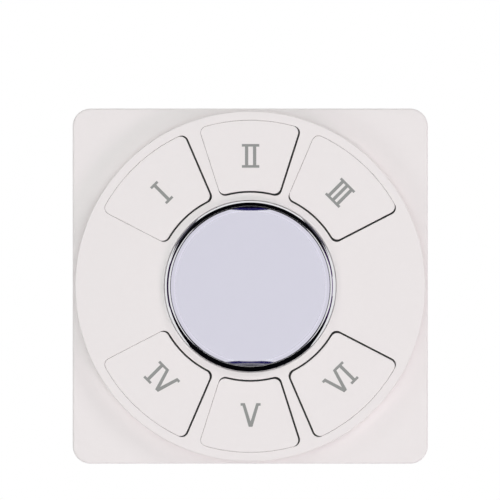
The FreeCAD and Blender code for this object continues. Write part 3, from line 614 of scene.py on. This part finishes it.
def numeral_outlines(number):
    """Closed outlines that only meet along their edges, about the numeral's middle."""
    half = STROKE / 2 + SERIF_REACH
    if number == 1:
        return strokes_in_row([0.0], SERIF_REACH)
    if number == 2:
        return strokes_in_row([-PAIR_PITCH / 2, PAIR_PITCH / 2], SERIF_REACH)
    if number == 3:
        return strokes_in_row([-TRIPLE_PITCH, 0.0, TRIPLE_PITCH], TRIPLE_REACH)
    if number == 5:
        return [letter_v(V_SERIF, V_SERIF)]
    # 4 has the stroke to the left of the V, 6 to its right
    long_reach = V_TO_STROKE + half
    middle = (V_SERIF - long_reach) / 2
    shapes = [letter_v(long_reach, V_SERIF), stroke(-V_TO_STROKE)]
    shapes.append(bar_at(False, -V_TO_STROKE - half, half - V_TO_STROKE))
    shapes = [[(x - middle, y) for x, y in shape] for shape in shapes]
    if number == 6:
        shapes = [[(-x, y) for x, y in shape] for shape in shapes]
    return shapes


def make_numerals(materials):
    """Thin prints that follow the crowned face of each key."""
    for number, (middle_x, middle_z, up_deg) in NUMERALS.items():
        cap = frame["nodes"][f"key_cap_{number}"].data
        points = [vertex.co for vertex in cap.vertices]
        faces = BVHTree.FromPolygons(points, [list(face.vertices) for face in cap.polygons])
        middle = Vector((middle_x * MM, 0, middle_z * MM))
        up = polar(1.0, up_deg)
        across = polar(1.0, up_deg - 90)
        mesh = bmesh.new()
        for outline in numeral_outlines(number):
            front = []
            back = []
            for x, y in outline:
                place = middle + across * x + up * y
                hit = faces.ray_cast(place - INWARD, INWARD)[0]
                front.append(mesh.verts.new((place.x, hit.y - PRINT_PROUD, place.z)))
                back.append(mesh.verts.new((place.x, hit.y + PRINT_SUNK, place.z)))
            mesh.faces.new(front)
            mesh.faces.new(back[::-1])
            for i in range(len(front)):
                j = (i + 1) % len(front)
                mesh.faces.new((front[i], back[i], back[j], front[j]))
        bmesh.ops.recalc_face_normals(mesh, faces=mesh.faces)
        numeral = finish_mesh(f"numeral_{number}", mesh)
        numeral.data.materials.append(materials["print_grey"])
        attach(numeral, f"key_{number}")


def make_camera():
    """A level camera that sees the square housing as large as the photograph does."""
    plate_low, plate_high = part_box("front_cover")
    plate_side = plate_high.x - plate_low.x
    per_px = plate_side / PLATE_PX
    view_width = IMAGE_SIDE * per_px
    data = bpy.data.cameras.new("camera")
    data.sensor_width = SENSOR
    data.lens = SENSOR * CAMERA_DISTANCE / view_width
    data.clip_start, data.clip_end = CLIP
    camera = bpy.data.objects.new("camera", data)
    middle = IMAGE_SIDE / 2
    x = -(PLATE_CENTRE_PX[0] - middle) * per_px
    z = (PLATE_CENTRE_PX[1] - middle) * per_px
    camera.location = (x, -PLATE_HEIGHT - CAMERA_DISTANCE, z)
    camera.rotation_euler = (math.pi / 2, 0, 0)
    bpy.context.scene.collection.objects.link(camera)
    bpy.context.scene.camera = camera


def make_world():
    """White to the camera, in reflections and through clear parts. Soft fill light otherwise."""
    world = bpy.data.worlds.new("studio")
    bpy.context.scene.world = world
    world.use_nodes = True
    tree = world.node_tree
    tree.nodes.clear()
    path = add_node(tree, "ShaderNodeLightPath")
    seen = math_node(tree, "MAXIMUM", path.outputs["Is Camera Ray"], path.outputs["Is Glossy Ray"])
    seen = math_node(tree, "MAXIMUM", seen, path.outputs["Is Transmission Ray"])
    backdrop = add_node(tree, "ShaderNodeBackground", {"Color": (1, 1, 1, 1), "Strength": 1.0})
    place = add_node(tree, "ShaderNodeTexCoord")
    split = add_node(tree, "ShaderNodeSeparateXYZ")
    level = add_node(
        tree,
        "ShaderNodeMapRange",
        {"From Min": -FILL_TURN, "From Max": FILL_TURN, "To Min": FRONT_FILL, "To Max": REAR_FILL},
        interpolation_type="SMOOTHSTEP",
    )
    fill = add_node(tree, "ShaderNodeBackground", {"Color": (*FILL_TINT, 1)})
    tree.links.new(place.outputs["Generated"], split.inputs[0])
    tree.links.new(split.outputs["Y"], level.inputs["Value"])
    tree.links.new(level.outputs["Result"], fill.inputs["Strength"])
    out = add_node(tree, "ShaderNodeOutputWorld")
    tree.links.new(blend(tree, seen, fill, backdrop), out.inputs["Surface"])


def aim(obj, target):
    """Turns a light towards a point."""
    obj.rotation_mode = "QUATERNION"
    obj.rotation_quaternion = (Vector(target) - obj.location).to_track_quat("-Z", "Y")


def area_light(name, place, side, level, color=(1, 1, 1)):
    """A square soft light on the middle of the face, which gives it this share of its light.

    A white surface lit at a level of 1 renders white.
    """
    distance = Vector(place).length
    slant = abs(place[1]) / distance
    data = bpy.data.lights.new(name, "AREA")
    data.shape = "SQUARE"
    data.size = side
    data.energy = level * (math.pi * distance) ** 2 / slant
    data.color = color
    light = bpy.data.objects.new(name, data)
    light.location = place
    bpy.context.scene.collection.objects.link(light)
    aim(light, (0, 0, 0))
    light.visible_camera = False
    light.visible_glossy = False


def make_lights():
    """Soft lights before the face, behind the wall, and low round the four corners."""
    area_light("front_light", (0, -FRONT_DISTANCE, 0), FRONT_SIDE, FRONT_LEVEL, FRONT_TINT)
    area_light("back_light", (0, FRONT_DISTANCE, BACK_LIFT), FRONT_SIDE, BACK_LEVEL)
    lift = math.radians(SIDE_LIFT_DEG)
    before = Vector((0, -SIDE_DISTANCE * math.sin(lift), 0))
    for i, (deg, level) in enumerate(SIDE_LEVELS.items()):
        place = polar(SIDE_DISTANCE * math.cos(lift), deg) + before
        area_light(f"side_light_{i + 1}", place, SIDE_SIDE, level, SIDE_TINTS.get(deg, SIDE_ROSE))


def make_floor():
    """A pale floor well below, which the knob does not reflect."""
    material = bpy.data.materials.new("floor_pale")
    tree, shader = tree_of(material)
    tint(tree, shader, FLOOR_TONE, FLOOR_WANDER, grain(tree, FLOOR_CLOUDS))
    shader.inputs["Roughness"].default_value = FLOOR_ROUGHNESS
    shader.inputs["Emission Color"].default_value = (1, 1, 1, 1)
    path = add_node(tree, "ShaderNodeLightPath")
    seen = math_node(tree, "MULTIPLY", path.outputs["Is Camera Ray"], FLOOR_GLOW)
    tree.links.new(seen, shader.inputs["Emission Strength"])
    mesh = bmesh.new()
    bmesh.ops.create_grid(mesh, x_segments=1, y_segments=1, size=0.5)
    floor = finish_mesh("floor", mesh)
    floor.location = (0, 0, -FLOOR_DROP)
    floor.scale = (FLOOR_SIDE, FLOOR_SIDE, 1.0)
    floor.visible_glossy = False
    floor.data.materials.append(material)


def glow(name, color):
    """A studio card of one even tone, which light on its way to the housing passes through."""
    material = bpy.data.materials.new(name)
    material.use_nodes = True
    tree = material.node_tree
    tree.nodes.clear()
    light = add_node(tree, "ShaderNodeEmission", {"Color": (*color, 1), "Strength": 1.0})
    clear = add_node(tree, "ShaderNodeBsdfTransparent")
    path = add_node(tree, "ShaderNodeLightPath")
    # A ray that has already left a matt surface has a diffuse depth of 1 or more
    bounced = math_node(tree, "GREATER_THAN", path.outputs["Diffuse Depth"], 0.5)
    out = add_node(tree, "ShaderNodeOutputMaterial")
    tree.links.new(blend(tree, bounced, light, clear), out.inputs["Surface"])
    return material


def make_card(name, material, edges):
    """A card of the studio through pairs of points, which only reflections see."""
    mesh = bmesh.new()
    pairs = [[mesh.verts.new(point) for point in edge] for edge in edges]
    for near, far in zip(pairs, pairs[1:]):
        mesh.faces.new((near[0], near[1], far[1], far[0]))
    card = finish_mesh(name, mesh)
    card.data.materials.append(material)
    card.visible_camera = False
    card.visible_diffuse = False
    card.visible_shadow = False
    card.visible_transmission = False


def bent_card(name, material, span, low_deg, high_deg, steps=CARD_STEPS):
    """A card bent round the level line through the knob, between two places across."""
    edges = []
    for angle in turns(low_deg, high_deg, steps):
        y = -CARD_DISTANCE * math.cos(angle)
        z = CARD_DISTANCE * math.sin(angle)
        edges.append([(x, y, z) for x in span])
    make_card(name, material, edges)


def upright_card(name, material, side, turn_deg):
    """A card bent round the upright line through the knob, to its left (-1) or right (1)."""
    half_height = STRIP_DISTANCE * math.tan(math.radians(STRIP_HALF_DEG))
    edges = []
    for angle in turns(*turn_deg, STRIP_STEPS):
        x = side * STRIP_DISTANCE * math.sin(angle)
        y = -STRIP_DISTANCE * math.cos(angle)
        edges.append([(x, y, z) for z in (-half_height, half_height)])
    make_card(name, material, edges)


def make_cards():
    """Cards round the camera, seen in the polished knob as dark crescents and fine lines."""
    tones = {name: glow(f"card_{name}", color) for name, color in CARD_TONES.items()}
    edge = UPPER_EDGE_DEG
    bent_card("upper_card_glow", tones["bright"], CARD_SPAN, edge - GLOW_DEG, edge, 1)
    bent_card("upper_card_edge", tones["navy"], CARD_SPAN, edge, edge + NAVY_DEG, 1)
    bent_card("upper_card", tones["black"], CARD_SPAN, edge + NAVY_DEG, UPPER_END_DEG)
    edge = -LOWER_EDGE_DEG
    bent_card("lower_card_glow", tones["bright"], CARD_SPAN, edge, edge + GLOW_DEG, 1)
    bent_card("lower_card_edge", tones["navy"], CARD_SPAN, edge, edge - NAVY_DEG, 1)
    edge -= NAVY_DEG
    bent_card("lower_card_line", tones["grey"], CARD_SPAN, edge, edge - GREY_DEG, 1)
    bent_card("lower_card", tones["black"], CARD_SPAN, edge - GREY_DEG, -LOWER_END_DEG)
    bent_card("left_wing", tones["slate"], (-WING_SPAN[1], -WING_SPAN[0]), *WING_DEG)
    bent_card("right_wing", tones["slate"], WING_SPAN, *WING_DEG)
    upright_card("left_card", tones["dusk"], -1, STRIP_LEFT_DEG)
    upright_card("right_card", tones["violet"], 1, STRIP_RIGHT_DEG)


def main():
    """Builds the studio, and then dresses the switch."""
    bpy.context.scene.view_settings.view_transform = "Standard"
    make_camera()
    make_world()
    make_floor()
    make_lights()
    make_cards()
    materials = make_materials()
    dress_cad_nodes(materials)
    make_knob(materials)
    make_numerals(materials)


main()
